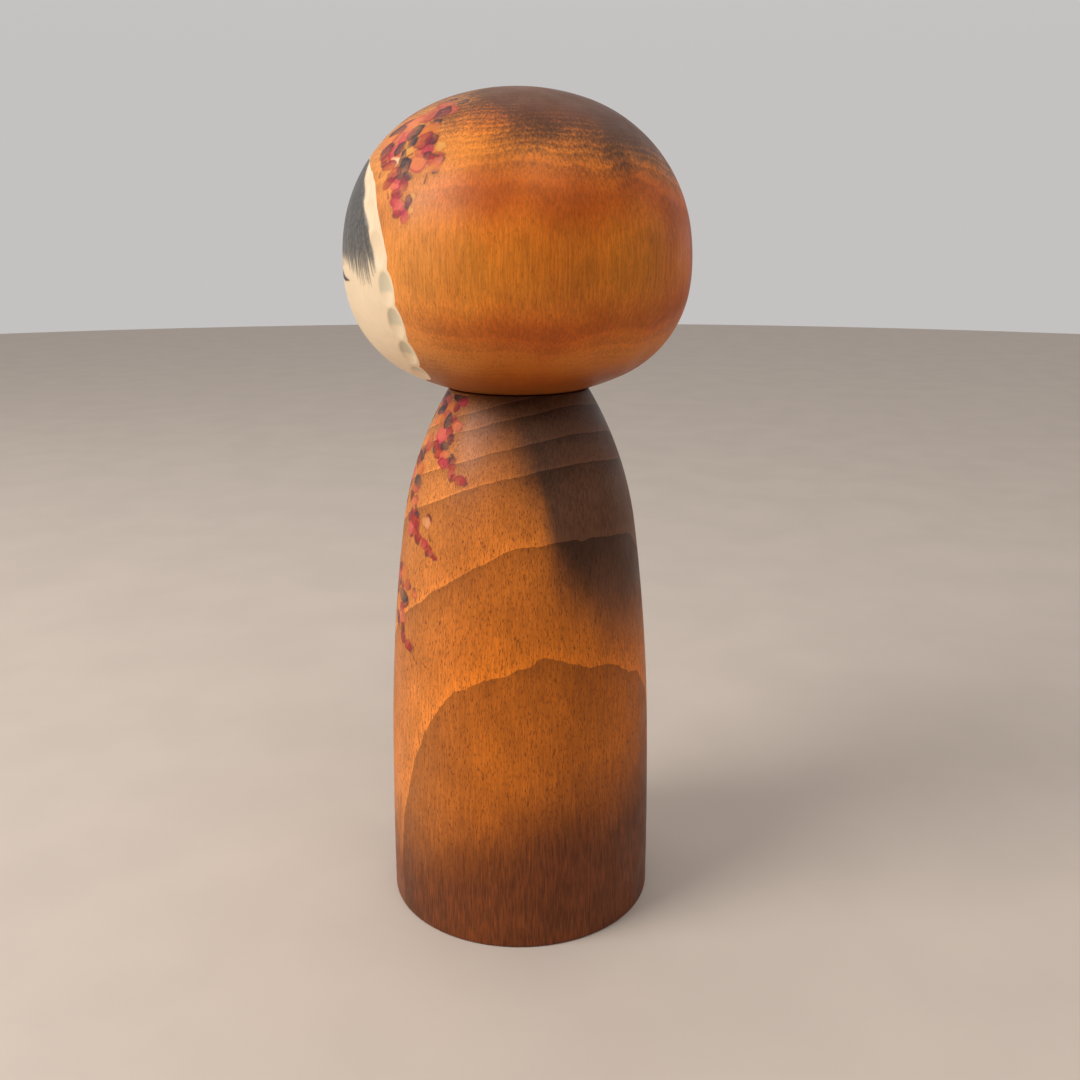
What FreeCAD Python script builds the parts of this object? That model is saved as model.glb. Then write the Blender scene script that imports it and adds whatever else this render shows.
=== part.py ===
import FreeCAD, Part
import math
import os

import Sketcher
from FreeCAD import Placement, Rotation, Vector

# A large turned wooden kokeshi doll: a tapered body block, an oblate head block and the peg
# that joins them. Millimetres, +Z up, the origin at the centre of the base on the surface that
# the doll stands on. The doll faces -Y. The peg is a dry push fit: the head turns on it, and
# peg and head lift out of the body together.

SIZES = [
    # overall
    ("total_height", 295.0, "surface to crown"),
    # body outline: three tangent arcs from the base to the neck
    ("base_radius", 49.9, "body radius at the base"),
    ("neck_height", 195.5, "flat top of the body"),
    ("neck_radius", 24.8, "edge of that flat top"),
    ("skirt_height", 66.0, "where the almost straight skirt meets the waist arc"),
    ("skirt_arc", 2300.0, "radius of the skirt's arc"),
    ("waist_arc", 750.0, "radius of the waist's arc"),
    ("shoulder_arc", 130.0, "radius of the shoulder's arc"),
    ("base_rounding", 0.8, "fillet where the body meets the surface"),
    ("neck_rounding", 0.5, "fillet round the body's flat top"),
    # underside of the body, as it comes off the lathe
    ("dish_radius", 40.0, "turned recess that leaves a ring to stand on"),
    ("dish_depth", 1.0, "depth of that recess"),
    ("claw_reach", 17.0, "middle of each lathe claw mark from the axis"),
    ("claw_long", 9.0, "length of a claw mark"),
    ("claw_wide", 1.6, "width of a claw mark"),
    ("claw_deep", 3.0, "depth of a claw mark below the recess"),
    # head outline: three tangent arcs above its equator and three below
    ("head_radius", 59.9, "head radius at its equator"),
    ("equator_height", 238.0, "height of the equator"),
    ("crown_arc", 74.8, "radius of the arc over the crown"),
    ("temple_arc", 52.6, "radius of the arc at the temples"),
    ("upper_side_arc", 81.0, "radius just above the equator"),
    ("lower_side_arc", 56.0, "radius just below the equator"),
    ("jaw_arc", 38.0, "radius of the arc at the jaw"),
    ("underside_arc", 89.0, "radius of the shallow underside"),
    ("seat_gap", 0.3, "shadow gap between the body's top and the head's seat"),
    ("seat_radius", 23.7, "flat seat under the head"),
    # gouge cuts that leave the scalloped edge of the bare face panel
    ("scoop_depth", 0.9, "depth of each gouge cut"),
    ("scoop_sweep", 6.3, "radius of a cut across its width"),
    ("scoop_run", 27.5, "radius of a cut along its length"),
    # neck peg and the two sockets that it fits
    ("peg_radius", 7.0, "radius of the peg"),
    ("peg_clearance", 0.05, "radial clearance of the peg in both sockets"),
    ("peg_tip_chamfer", 1.2, "chamfer at both ends of the peg"),
    ("peg_in_body", 42.0, "length of the peg below the body's top"),
    ("peg_in_head", 32.0, "length of the peg above the head's seat"),
    ("socket_spare", 2.0, "air left past each end of the peg"),
    ("socket_chamfer", 1.0, "lead-in at each socket's mouth"),
]
CLAW_MARKS = 4
# Gouge cuts down the doll's left temple and cheek: azimuth from the front in degrees, height of
# the middle, and how far the cut leans out towards the ear at its lower end in degrees.
SCOOPS = [
    (42.0, 262.0, 40.0),
    (48.8, 253.8, 26.0),
    (54.3, 243.2, 17.0),
    (57.3, 231.4, 6.0),
    (58.2, 220.8, -3.0),
    (56.6, 211.0, -17.0),
    (50.4, 203.6, -42.0),
]

doc = FreeCAD.newDocument("kokeshi_doll")
sheet = doc.addObject("Spreadsheet::Sheet", "Sizes")
for row, (alias, value, note) in enumerate(SIZES, 1):
    sheet.set(f"A{row}", note)
    sheet.set(f"B{row}", str(value))
    sheet.setAlias(f"B{row}", alias)
doc.recompute()


def size(alias):
    """The sheet's value for a cell, in millimetres."""
    return float(getattr(sheet, alias))


def bind(sketch, constraint, expression):
    """Adds a dimension to a sketch and drives it from the sheet."""
    index = sketch.addConstraint(constraint)
    sketch.setExpression(f"Constraints[{index}]", expression)


def new_body(name):
    body = doc.addObject("PartDesign::Body", name)
    body.Label = name
    return body


def new_sketch(body, name, role, lift=None):
    """A sketch on one of the body's own origin planes. lift is the expression of its height."""
    sketch = body.newObject("Sketcher::SketchObject", name)
    plane = next(f for f in body.Origin.OriginFeatures if f.Role == role)
    sketch.AttachmentSupport = (plane, [""])
    sketch.MapMode = "FlatFace"
    if lift:
        sketch.setExpression("AttachmentOffset.Base.z", lift)
    return sketch


def circles_meet(centre_a, radius_a, centre_b, radius_b):
    """Where two circles cross, the crossing further from the axis."""
    between = centre_b - centre_a
    gap = between.Length
    along = (radius_a**2 - radius_b**2 + gap**2) / (2 * gap)
    off = math.sqrt(radius_a**2 - along**2)
    foot = centre_a + between * (along / gap)
    side = Vector(-between.y, between.x, 0) * (off / gap)
    return max(foot + side, foot - side, key=lambda point: point.x)


def inner_join(outer_centre, outer_radius, inner_centre):
    """Where a circle touches the larger circle that it lies in."""
    return outer_centre + (inner_centre - outer_centre).normalize() * outer_radius


def add_arc(sketch, centre, radius, start, end):
    """An anticlockwise arc from start to end. Point 1 of the geometry is start, 2 is end."""
    angles = [math.atan2(p.y - centre.y, p.x - centre.x) for p in (start, end)]
    circle = Part.Circle(centre, Vector(0, 0, 1), radius)
    return sketch.addGeometry(Part.ArcOfCircle(circle, *angles), False)


def add_line(sketch, start, end):
    return sketch.addGeometry(Part.LineSegment(start, end), False)


def join(sketch, kind, first, second):
    """Joins the end of one edge to the start of the next, Coincident or Tangent."""
    sketch.addConstraint(Sketcher.Constraint(kind, first, 2, second, 1))


ORIGIN = (-1, 1)
HORIZONTAL_AXIS, VERTICAL_AXIS = -1, -2
START, END, CENTRE = 1, 2, 3


def body_outline(body):
    """Half the body's section: base line, three tangent arcs, flat top and the axis."""
    base = Vector(size("base_radius"), 0, 0)
    top = Vector(size("neck_radius"), size("neck_height"), 0)
    skirt_r, waist_r, shoulder_r = (size(a) for a in ("skirt_arc", "waist_arc", "shoulder_arc"))
    skirt_c = base - Vector(skirt_r, 0, 0)
    rise = math.asin(size("skirt_height") / skirt_r)
    skirt_end = skirt_c + Vector(math.cos(rise), math.sin(rise), 0) * skirt_r
    waist_c = skirt_end + (skirt_c - skirt_end).normalize() * waist_r
    shoulder_c = circles_meet(waist_c, waist_r - shoulder_r, top, shoulder_r)
    waist_end = inner_join(waist_c, waist_r, shoulder_c)

    sketch = new_sketch(body, "body_outline", "XZ_Plane")
    floor = add_line(sketch, Vector(0, 0, 0), base)
    skirt = add_arc(sketch, skirt_c, skirt_r, base, skirt_end)
    waist = add_arc(sketch, waist_c, waist_r, skirt_end, waist_end)
    shoulder = add_arc(sketch, shoulder_c, shoulder_r, waist_end, top)
    flat = add_line(sketch, top, Vector(0, top.y, 0))
    axis = add_line(sketch, Vector(0, top.y, 0), Vector(0, 0, 0))

    join(sketch, "Coincident", floor, skirt)
    join(sketch, "Tangent", skirt, waist)
    join(sketch, "Tangent", waist, shoulder)
    join(sketch, "Coincident", shoulder, flat)
    join(sketch, "Coincident", flat, axis)
    join(sketch, "Coincident", axis, floor)
    sketch.addConstraint(Sketcher.Constraint("Coincident", floor, START, *ORIGIN))
    sketch.addConstraint(Sketcher.Constraint("Horizontal", floor))
    sketch.addConstraint(Sketcher.Constraint("Horizontal", flat))
    sketch.addConstraint(Sketcher.Constraint("Vertical", axis))
    # the skirt leaves the base upright, so its centre is level with the base
    sketch.addConstraint(Sketcher.Constraint("Horizontal", skirt, CENTRE, skirt, START))
    bind(sketch, Sketcher.Constraint("DistanceX", floor, START, floor, END, base.x), "Sizes.base_radius")
    bind(sketch, Sketcher.Constraint("DistanceY", *ORIGIN, skirt, END, skirt_end.y), "Sizes.skirt_height")
    bind(sketch, Sketcher.Constraint("DistanceX", *ORIGIN, shoulder, END, top.x), "Sizes.neck_radius")
    bind(sketch, Sketcher.Constraint("DistanceY", *ORIGIN, shoulder, END, top.y), "Sizes.neck_height")
    bind(sketch, Sketcher.Constraint("Radius", skirt, skirt_r), "Sizes.skirt_arc")
    bind(sketch, Sketcher.Constraint("Radius", waist, waist_r), "Sizes.waist_arc")
    bind(sketch, Sketcher.Constraint("Radius", shoulder, shoulder_r), "Sizes.shoulder_arc")
    return sketch


def head_outline(body):
    """Half the head's section: the crown, temple and side arcs, the jaw, the seat and the axis."""
    crown_r, temple_r, upper_r = (size(a) for a in ("crown_arc", "temple_arc", "upper_side_arc"))
    lower_r, jaw_r, under_r = (size(a) for a in ("lower_side_arc", "jaw_arc", "underside_arc"))
    equator = Vector(size("head_radius"), size("equator_height"), 0)
    top = Vector(0, size("total_height"), 0)
    seat = Vector(size("seat_radius"), size("neck_height") + size("seat_gap"), 0)
    seat_middle = Vector(0, seat.y, 0)
    crown_c = top - Vector(0, crown_r, 0)
    upper_c = equator - Vector(upper_r, 0, 0)
    lower_c = equator - Vector(lower_r, 0, 0)
    under_c = Vector(0, seat.y + math.sqrt(under_r**2 - seat.x**2), 0)
    temple_c = circles_meet(crown_c, crown_r - temple_r, upper_c, upper_r - temple_r)
    jaw_c = circles_meet(under_c, under_r - jaw_r, lower_c, lower_r - jaw_r)
    temple_top = inner_join(crown_c, crown_r, temple_c)
    temple_low = inner_join(upper_c, upper_r, temple_c)
    jaw_top = inner_join(lower_c, lower_r, jaw_c)
    jaw_low = inner_join(under_c, under_r, jaw_c)

    sketch = new_sketch(body, "head_outline", "XZ_Plane")
    flat = add_line(sketch, seat_middle, seat)
    under = add_arc(sketch, under_c, under_r, seat, jaw_low)
    jaw = add_arc(sketch, jaw_c, jaw_r, jaw_low, jaw_top)
    lower = add_arc(sketch, lower_c, lower_r, jaw_top, equator)
    upper = add_arc(sketch, upper_c, upper_r, equator, temple_low)
    temple = add_arc(sketch, temple_c, temple_r, temple_low, temple_top)
    crown = add_arc(sketch, crown_c, crown_r, temple_top, top)
    axis = add_line(sketch, top, seat_middle)

    join(sketch, "Coincident", flat, under)
    join(sketch, "Tangent", under, jaw)
    join(sketch, "Tangent", jaw, lower)
    join(sketch, "Coincident", lower, upper)
    join(sketch, "Tangent", upper, temple)
    join(sketch, "Tangent", temple, crown)
    join(sketch, "Coincident", crown, axis)
    join(sketch, "Coincident", axis, flat)
    sketch.addConstraint(Sketcher.Constraint("Horizontal", flat))
    sketch.addConstraint(Sketcher.Constraint("PointOnObject", flat, START, VERTICAL_AXIS))
    sketch.addConstraint(Sketcher.Constraint("PointOnObject", crown, END, VERTICAL_AXIS))
    sketch.addConstraint(Sketcher.Constraint("PointOnObject", crown, CENTRE, VERTICAL_AXIS))
    sketch.addConstraint(Sketcher.Constraint("PointOnObject", under, CENTRE, VERTICAL_AXIS))
    # both side arcs cross the equator upright, so their centres are level with it
    for arc in (lower, upper):
        sketch.addConstraint(Sketcher.Constraint("Horizontal", arc, CENTRE, upper, START))
    bind(sketch, Sketcher.Constraint("DistanceX", *ORIGIN, upper, START, equator.x), "Sizes.head_radius")
    bind(sketch, Sketcher.Constraint("DistanceY", *ORIGIN, upper, START, equator.y), "Sizes.equator_height")
    bind(sketch, Sketcher.Constraint("DistanceY", *ORIGIN, crown, END, top.y), "Sizes.total_height")
    bind(sketch, Sketcher.Constraint("DistanceX", flat, START, flat, END, seat.x), "Sizes.seat_radius")
    seat_level = Sketcher.Constraint("DistanceY", *ORIGIN, flat, START, seat.y)
    bind(sketch, seat_level, "Sizes.neck_height + Sizes.seat_gap")
    arcs = (
        (under, under_r, "underside_arc"),
        (jaw, jaw_r, "jaw_arc"),
        (lower, lower_r, "lower_side_arc"),
        (upper, upper_r, "upper_side_arc"),
        (temple, temple_r, "temple_arc"),
        (crown, crown_r, "crown_arc"),
    )
    for arc, radius, alias in arcs:
        bind(sketch, Sketcher.Constraint("Radius", arc, radius), f"Sizes.{alias}")
    return sketch


def turn(body, name, sketch, kind="PartDesign::Revolution"):
    """A full turn of a sketch about the lathe's axis, added or cut away."""
    feature = body.newObject(kind, name)
    feature.Profile = sketch
    feature.ReferenceAxis = (sketch, ["V_Axis"])
    feature.Angle = 360.0
    doc.recompute()
    return feature


def socket(body, name, lift, depth, upwards):
    """A round blind socket for the peg, cut from a flat at height lift."""
    sketch = new_sketch(body, f"{name}_circle", "XY_Plane", lift)
    radius = size("peg_radius") + size("peg_clearance")
    circle = sketch.addGeometry(Part.Circle(Vector(0, 0, 0), Vector(0, 0, 1), radius), False)
    sketch.addConstraint(Sketcher.Constraint("Coincident", circle, CENTRE, *ORIGIN))
    bind(sketch, Sketcher.Constraint("Radius", circle, radius), "Sizes.peg_radius + Sizes.peg_clearance")
    doc.recompute()
    pocket = body.newObject("PartDesign::Pocket", name)
    pocket.Profile = sketch
    pocket.Reversed = upwards
    pocket.setExpression("Length", depth)
    before = body.Shape.Volume
    doc.recompute()
    removed = before - pocket.Shape.Volume
    assert removed > math.pi * size("peg_radius") ** 2 * 20, f"{name} cut {removed:.0f} mm3"
    return pocket


def round_edges(feature, radius, height):
    """Names of a feature's full circles of one radius at one height."""
    found = []
    for index, edge in enumerate(feature.Shape.Edges, 1):
        if edge.Degenerated:  # the point where an outline meets the axis
            continue
        curve = edge.Curve
        if not isinstance(curve, Part.Circle) or abs(curve.Radius - radius) > 0.01:
            continue
        if abs(curve.Center.z - height) < 0.01 and curve.Center.x**2 + curve.Center.y**2 < 1e-6:
            found.append(f"Edge{index}")
    assert found, f"no circle of radius {radius} at height {height}"
    return found


def dress(body, kind, name, base, edges, amount):
    """A Fillet or a Chamfer on edges of the feature before it, sized from the sheet."""
    feature = body.newObject(f"PartDesign::{kind}", name)
    feature.Base = (base, edges)
    feature.setExpression("Radius" if kind == "Fillet" else "Size", amount)
    doc.recompute()
    return feature


def make_body():
    """The body block: turned outline, peg socket, eased edges, dished underside, claw marks."""
    body = new_body("body")
    turned = turn(body, "turned_body", body_outline(body))
    hole = socket(body, "peg_socket", "Sizes.neck_height", "Sizes.peg_in_body + Sizes.socket_spare", False)
    mouth = round_edges(hole, size("peg_radius") + size("peg_clearance"), size("neck_height"))
    lead_in = dress(body, "Chamfer", "socket_mouth", hole, mouth, "Sizes.socket_chamfer")
    rim = round_edges(lead_in, size("neck_radius"), size("neck_height"))
    eased = dress(body, "Fillet", "neck_edge", lead_in, rim, "Sizes.neck_rounding")
    foot = round_edges(eased, size("base_radius"), 0.0)
    dress(body, "Fillet", "base_edge", eased, foot, "Sizes.base_rounding")

    # the dish under the base: flat in the middle, sloping back to the standing ring
    radius, depth = size("dish_radius"), size("dish_depth")
    sketch = new_sketch(body, "dish_outline", "XZ_Plane")
    corners = [Vector(0, 0, 0), Vector(radius, 0, 0), Vector(radius - depth, depth, 0), Vector(0, depth, 0)]
    edges = [add_line(sketch, corners[i], corners[(i + 1) % 4]) for i in range(4)]
    for i in range(4):
        join(sketch, "Coincident", edges[i], edges[(i + 1) % 4])
    sketch.addConstraint(Sketcher.Constraint("Coincident", edges[0], START, *ORIGIN))
    sketch.addConstraint(Sketcher.Constraint("Horizontal", edges[0]))
    sketch.addConstraint(Sketcher.Constraint("Horizontal", edges[2]))
    sketch.addConstraint(Sketcher.Constraint("Vertical", edges[3]))
    across = Sketcher.Constraint("DistanceX", edges[0], START, edges[0], END, radius)
    bind(sketch, across, "Sizes.dish_radius")
    upright = Sketcher.Constraint("DistanceY", edges[1], START, edges[1], END, depth)
    bind(sketch, upright, "Sizes.dish_depth")
    slope = Sketcher.Constraint("DistanceX", edges[1], END, edges[1], START, depth)
    bind(sketch, slope, "Sizes.dish_depth")
    before = body.Shape.Volume
    dish = turn(body, "dished_base", sketch, "PartDesign::Groove")
    expected = math.pi * (radius - depth) ** 2 * depth
    assert before - dish.Shape.Volume > 0.9 * expected, "the dish cut nothing"

    # four slots in a ring, left by the claws that drove the block on the lathe
    long, wide, reach = size("claw_long"), size("claw_wide"), size("claw_reach")
    sketch = new_sketch(body, "claw_outline", "XY_Plane", "Sizes.dish_depth")
    low, high = Vector(reach - long / 2, -wide / 2, 0), Vector(reach + long / 2, wide / 2, 0)
    corners = [low, Vector(high.x, low.y, 0), high, Vector(low.x, high.y, 0)]
    edges = [add_line(sketch, corners[i], corners[(i + 1) % 4]) for i in range(4)]
    for i in range(4):
        join(sketch, "Coincident", edges[i], edges[(i + 1) % 4])
        sketch.addConstraint(Sketcher.Constraint("Vertical" if i % 2 else "Horizontal", edges[i]))
    start_x = Sketcher.Constraint("DistanceX", *ORIGIN, edges[0], START, low.x)
    bind(sketch, start_x, "Sizes.claw_reach - Sizes.claw_long / 2")
    start_y = Sketcher.Constraint("DistanceY", edges[0], START, *ORIGIN, wide / 2)
    bind(sketch, start_y, "Sizes.claw_wide / 2")
    bind(sketch, Sketcher.Constraint("DistanceX", edges[0], START, edges[0], END, long), "Sizes.claw_long")
    bind(sketch, Sketcher.Constraint("DistanceY", edges[1], START, edges[1], END, wide), "Sizes.claw_wide")
    doc.recompute()
    claw = body.newObject("PartDesign::Pocket", "claw_mark")
    claw.Profile = sketch
    claw.Reversed = True
    claw.setExpression("Length", "Sizes.claw_deep")
    doc.recompute()
    ring = body.newObject("PartDesign::PolarPattern", "claw_marks")
    ring.Originals = [claw]
    ring.Axis = (sketch, ["N_Axis"])
    ring.Angle = 360.0
    ring.Occurrences = CLAW_MARKS
    body.Tip = ring
    doc.recompute()
    removed = dish.Shape.Volume - ring.Shape.Volume
    expected = CLAW_MARKS * long * wide * size("claw_deep")
    assert abs(removed - expected) < 0.02 * expected, f"the claw marks cut {removed:.0f} mm3"
    return body


def head_surface(azimuth, height):
    """The point of the head's outline at an azimuth from the front, its outward normal, and the
    directions along the surface towards the doll's left and downwards."""
    around = math.radians(azimuth)
    outwards = Vector(math.sin(around), -math.cos(around), 0)
    left = Vector(math.cos(around), math.sin(around), 0)
    plane = Part.Plane(Vector(0, 0, height), Vector(0, 0, 1))
    hits = []
    for edge in doc.getObject("head_outline").Shape.Edges:
        low, high = sorted(v.Point.z for v in edge.Vertexes)
        if isinstance(edge.Curve, Part.Circle) and low <= height <= high:
            hits += [(hit.X, edge.Curve.Center) for hit in edge.Curve.intersect(plane)[0]]
    radius, centre = max(hits, key=lambda hit: hit[0])
    spoke = Vector(radius, 0, height) - centre
    normal = outwards * spoke.x + Vector(0, 0, spoke.z)
    normal.normalize()
    return outwards * radius + Vector(0, 0, height), normal, left, left.cross(normal)


def carve_scoops(body):
    """Gouge cuts beside the face. Each is a shallow spindle turned about an axis off the surface."""
    depth, sweep, run = size("scoop_depth"), size("scoop_sweep"), size("scoop_run")
    half_axis = math.sqrt(run**2 - (run - sweep) ** 2)
    centre = Vector(0, sweep - run, 0)
    cuts = []
    for number, (azimuth, height, lean) in enumerate(SCOOPS, 1):
        point, normal, left, down = head_surface(azimuth, height)
        turned = math.radians(lean)
        along = down * math.cos(turned) + left * math.sin(turned)
        offset = Placement()
        offset.Base = point + normal * (sweep - depth)
        offset.Rotation = Rotation(along, -normal, along.cross(-normal), "XYZ")
        sketch = new_sketch(body, f"scoop_outline_{number}", "XY_Plane")
        sketch.AttachmentOffset = offset
        tip = Vector(half_axis, 0, 0)
        axis = add_line(sketch, -tip, tip)
        belly = add_arc(sketch, centre, run, tip, -tip)
        join(sketch, "Coincident", axis, belly)
        join(sketch, "Coincident", belly, axis)
        sketch.addConstraint(Sketcher.Constraint("Horizontal", axis))
        sketch.addConstraint(Sketcher.Constraint("PointOnObject", belly, CENTRE, VERTICAL_AXIS))
        sketch.addConstraint(Sketcher.Constraint("PointOnObject", axis, START, HORIZONTAL_AXIS))
        bind(sketch, Sketcher.Constraint("Radius", belly, run), "Sizes.scoop_run")
        drop = Sketcher.Constraint("DistanceY", belly, CENTRE, *ORIGIN, run - sweep)
        bind(sketch, drop, "Sizes.scoop_run - Sizes.scoop_sweep")
        doc.recompute()
        before = body.Shape.Volume
        cut = body.newObject("PartDesign::Groove", f"scoop_{number}")
        cut.Profile = sketch
        cut.ReferenceAxis = (sketch, ["H_Axis"])
        cut.Angle = 360.0
        doc.recompute()
        removed = before - cut.Shape.Volume
        assert 15 < removed < 50, f"scoop {number} cut {removed:.1f} mm3"
        cuts.append(cut)
    before = body.Shape.Volume
    other_side = body.newObject("PartDesign::Mirrored", "scoops_right")
    other_side.Originals = cuts
    plane = next(f for f in body.Origin.OriginFeatures if f.Role == "YZ_Plane")
    other_side.MirrorPlane = (plane, [""])
    body.Tip = other_side
    doc.recompute()
    assert before - other_side.Shape.Volume > 15 * len(cuts), "the mirrored scoops cut nothing"


def make_head():
    """The head block: turned outline with a flat seat, the peg's socket and the gouge cuts."""
    body = new_body("head")
    turn(body, "turned_head", head_outline(body))
    seat = size("neck_height") + size("seat_gap")
    lift = "Sizes.neck_height + Sizes.seat_gap"
    hole = socket(body, "peg_socket", lift, "Sizes.peg_in_head + Sizes.socket_spare", True)
    mouth = round_edges(hole, size("peg_radius") + size("peg_clearance"), seat)
    dress(body, "Chamfer", "socket_mouth", hole, mouth, "Sizes.socket_chamfer")
    carve_scoops(body)
    return body


def make_neck_peg():
    """The turned peg, chamfered at both ends, standing in the body's socket."""
    body = new_body("neck_peg")
    low = size("neck_height") - size("peg_in_body")
    sketch = new_sketch(body, "peg_circle", "XY_Plane", "Sizes.neck_height - Sizes.peg_in_body")
    circle = Part.Circle(Vector(0, 0, 0), Vector(0, 0, 1), size("peg_radius"))
    index = sketch.addGeometry(circle, False)
    sketch.addConstraint(Sketcher.Constraint("Coincident", index, CENTRE, *ORIGIN))
    bind(sketch, Sketcher.Constraint("Radius", index, size("peg_radius")), "Sizes.peg_radius")
    doc.recompute()
    pad = body.newObject("PartDesign::Pad", "peg_stock")
    pad.Profile = sketch
    pad.setExpression("Length", "Sizes.peg_in_body + Sizes.seat_gap + Sizes.peg_in_head")
    doc.recompute()
    high = size("neck_height") + size("seat_gap") + size("peg_in_head")
    tips = round_edges(pad, size("peg_radius"), low) + round_edges(pad, size("peg_radius"), high)
    dress(body, "Chamfer", "peg_tips", pad, tips, "Sizes.peg_tip_chamfer")
    return body


pieces = [make_body(), make_head(), make_neck_peg()]
doc.recompute()

for item in doc.Objects:
    bad = {"Invalid", "Error"} & set(item.State)
    assert not bad, f"{item.Name} is {sorted(bad)}"
os.makedirs("parts", exist_ok=True)
for piece in pieces:
    shape = piece.Shape
    assert not shape.isNull() and shape.isValid(), f"{piece.Label} has no valid shape"
    assert len(shape.Solids) == 1, f"{piece.Label} has {len(shape.Solids)} solids"
    shape.exportStep(f"parts/{piece.Label}.step")
    print(piece.Label, f"{shape.Volume / 1000:.1f} cm3", shape.BoundBox)
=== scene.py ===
import math
import random

import bpy
import numpy as np
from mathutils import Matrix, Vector


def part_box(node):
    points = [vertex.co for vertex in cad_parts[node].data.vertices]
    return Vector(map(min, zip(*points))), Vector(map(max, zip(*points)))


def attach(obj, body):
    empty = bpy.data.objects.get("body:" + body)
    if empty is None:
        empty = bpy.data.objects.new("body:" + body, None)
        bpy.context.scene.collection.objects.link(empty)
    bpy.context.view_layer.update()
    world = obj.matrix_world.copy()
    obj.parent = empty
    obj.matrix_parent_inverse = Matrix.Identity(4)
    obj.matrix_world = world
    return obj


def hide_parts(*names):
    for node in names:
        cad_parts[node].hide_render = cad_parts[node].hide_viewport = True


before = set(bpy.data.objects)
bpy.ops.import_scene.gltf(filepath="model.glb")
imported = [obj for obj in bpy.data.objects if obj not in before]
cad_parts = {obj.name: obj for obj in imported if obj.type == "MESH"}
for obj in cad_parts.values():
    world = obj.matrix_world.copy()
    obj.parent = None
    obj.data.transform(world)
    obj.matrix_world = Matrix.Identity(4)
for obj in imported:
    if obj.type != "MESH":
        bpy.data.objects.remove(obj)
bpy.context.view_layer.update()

# Looks of the turned kokeshi doll. Lengths in this script are millimetres until they reach a mesh.
# A place on the wood is an azimuth, in degrees from the doll's front towards its left, and a height.
MM = 0.001
CAMERA_AZIMUTH = 100.0


def size_mm(node):
    low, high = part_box(node)
    return low / MM, high / MM


BODY_HIGH = size_mm("body")[1]
HEAD_LOW, HEAD_HIGH = size_mm("head")
PEG_LOW, PEG_HIGH = size_mm("neck_peg")
PEG_CLEARANCE = 0.05
SOCKET_RADIUS = PEG_HIGH.x + PEG_CLEARANCE
SOCKET_SPARE = 2.0
SOCKET_CHAMFER = 1.0
SHARP_EDGE = math.radians(35)


# ---------------------------------------------------------------- outlines of the turned blocks


def crossing(first, first_radius, second, second_radius):
    """Where two circles cross, as (radius, height): the crossing further from the axis."""
    gap = math.dist(first, second)
    along = (first_radius**2 - second_radius**2 + gap**2) / (2 * gap)
    off = math.sqrt(first_radius**2 - along**2)
    x, y = ((second[i] - first[i]) / gap for i in (0, 1))
    both = [(first[0] + x * along - y * s, first[1] + y * along + x * s) for s in (off, -off)]
    return max(both)


def beyond(centre, radius, inner):
    """Where a circle is touched from inside by a smaller one with that centre."""
    reach = radius / math.dist(centre, inner)
    return tuple(centre[i] + (inner[i] - centre[i]) * reach for i in (0, 1))


class Outline:
    """The turned face of a block: arcs from bottom to top, each (centre, radius, start, end).
    A place on it is an azimuth and a run, the length along the outline from its bottom."""

    STEP = 0.2

    def __init__(self, arcs):
        rows = []
        for centre, radius, start, end in arcs:
            low, high = (math.atan2(p[1] - centre[1], p[0] - centre[0]) for p in (start, end))
            count = max(2, round((high - low) * radius / self.STEP))
            angle = np.linspace(low, high, count + 1)
            spokes = np.stack([np.cos(angle), np.sin(angle)], axis=1)
            rows.append(np.hstack([np.array(centre) + spokes * radius, spokes]))
        self.table = np.concatenate([row[:-1] for row in rows] + [rows[-1][-1:]])
        steps = np.hypot(*np.diff(self.table[:, :2], axis=0).T)
        self.run = np.concatenate([[0.0], np.cumsum(steps)])
        self.cuts = []

    def at_height(self, height):
        return np.interp(height, self.table[:, 1], self.run)

    def column(self, index, run):
        return np.interp(run, self.run, self.table[:, index])

    def radius(self, run):
        return self.column(0, run)

    def place(self, azimuth, run, lift=0.0):
        """Points, outward normals and the depth cut away, at arrays of azimuths and runs."""
        radius, height, out, up = (self.column(i, run) for i in range(4))
        around = np.radians(azimuth)
        east, north = np.sin(around), -np.cos(around)
        point = np.stack([radius * east, radius * north, height + 0 * east], axis=-1)
        normal = np.stack([out * east, out * north, up + 0 * east], axis=-1)
        normal /= np.linalg.norm(normal, axis=-1, keepdims=True)
        depth = np.zeros(point.shape[:-1])
        for cut in self.cuts:
            depth = np.maximum(depth, cut.depth(point, normal))
        return point - normal * (depth - lift)[..., None], normal, depth


def body_outline():
    """Skirt, waist and shoulder, three arcs that run into each other."""
    skirt_radius, waist_radius, shoulder_radius, skirt_height = 2300.0, 750.0, 130.0, 66.0
    base = (49.9, 0.0)
    neck = (24.8, BODY_HIGH.z)
    skirt = (base[0] - skirt_radius, 0.0)
    rise = math.asin(skirt_height / skirt_radius)
    skirt_end = (skirt[0] + skirt_radius * math.cos(rise), skirt_height)
    share = waist_radius / skirt_radius
    waist = tuple(skirt_end[i] + (skirt[i] - skirt_end[i]) * share for i in (0, 1))
    shoulder = crossing(waist, waist_radius - shoulder_radius, neck, shoulder_radius)
    waist_end = beyond(waist, waist_radius, shoulder)
    return Outline([
        (skirt, skirt_radius, base, skirt_end),
        (waist, waist_radius, skirt_end, waist_end),
        (shoulder, shoulder_radius, waist_end, neck),
    ])


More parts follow.
